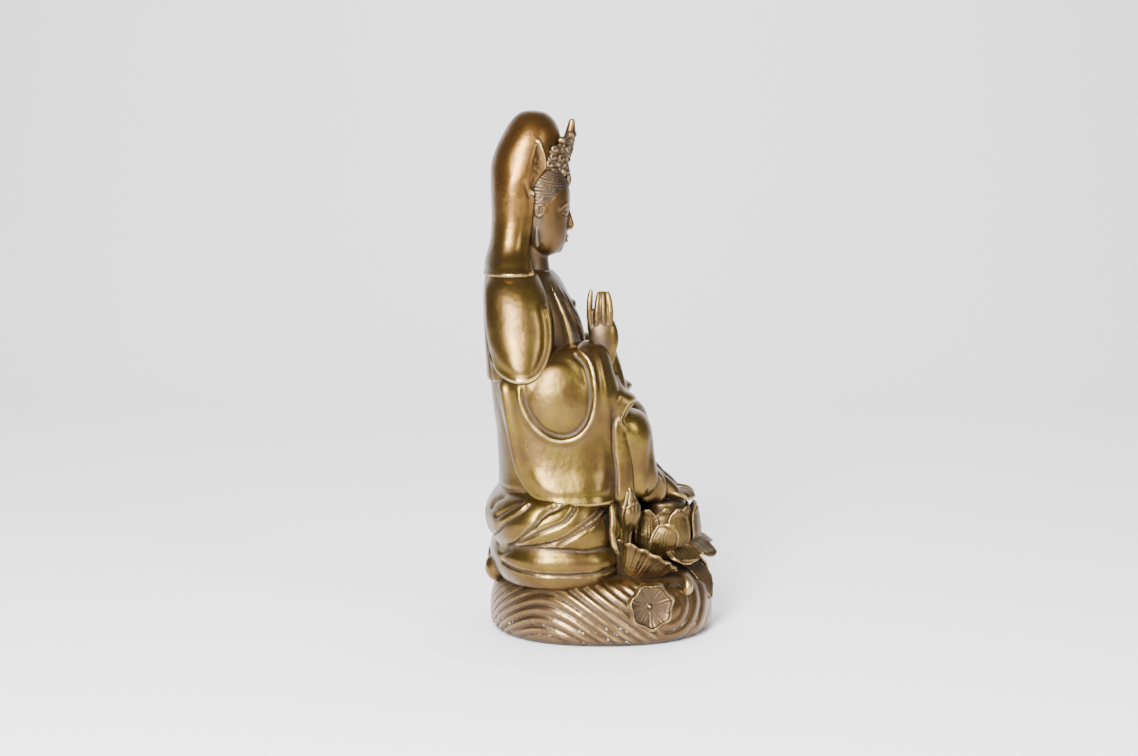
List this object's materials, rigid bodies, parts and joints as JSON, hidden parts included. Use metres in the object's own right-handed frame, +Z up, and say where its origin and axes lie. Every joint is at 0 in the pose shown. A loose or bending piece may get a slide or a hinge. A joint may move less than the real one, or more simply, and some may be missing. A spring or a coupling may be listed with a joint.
{
  "type": "seated guanyin figure",
  "caption": "Cast figure of a seated, hooded bodhisattva with one hand raised, its feet on a lotus, on a rock seat and a plinth of carved waves.",
  "frame": {"origin": "on the ground under the middle of the plinth", "axes": "+Z up; the figure looks along -Y; +X is the figure's left"},
  "size_m": [0.1588, 0.15, 0.3324],
  "materials": {
    "cast_brass": "brown patina, rubbed bright on the raised edges"
  },
  "bodies": {
    "root": {"guanyin_figure": "cast_brass"}
  },
  "joints": []
}
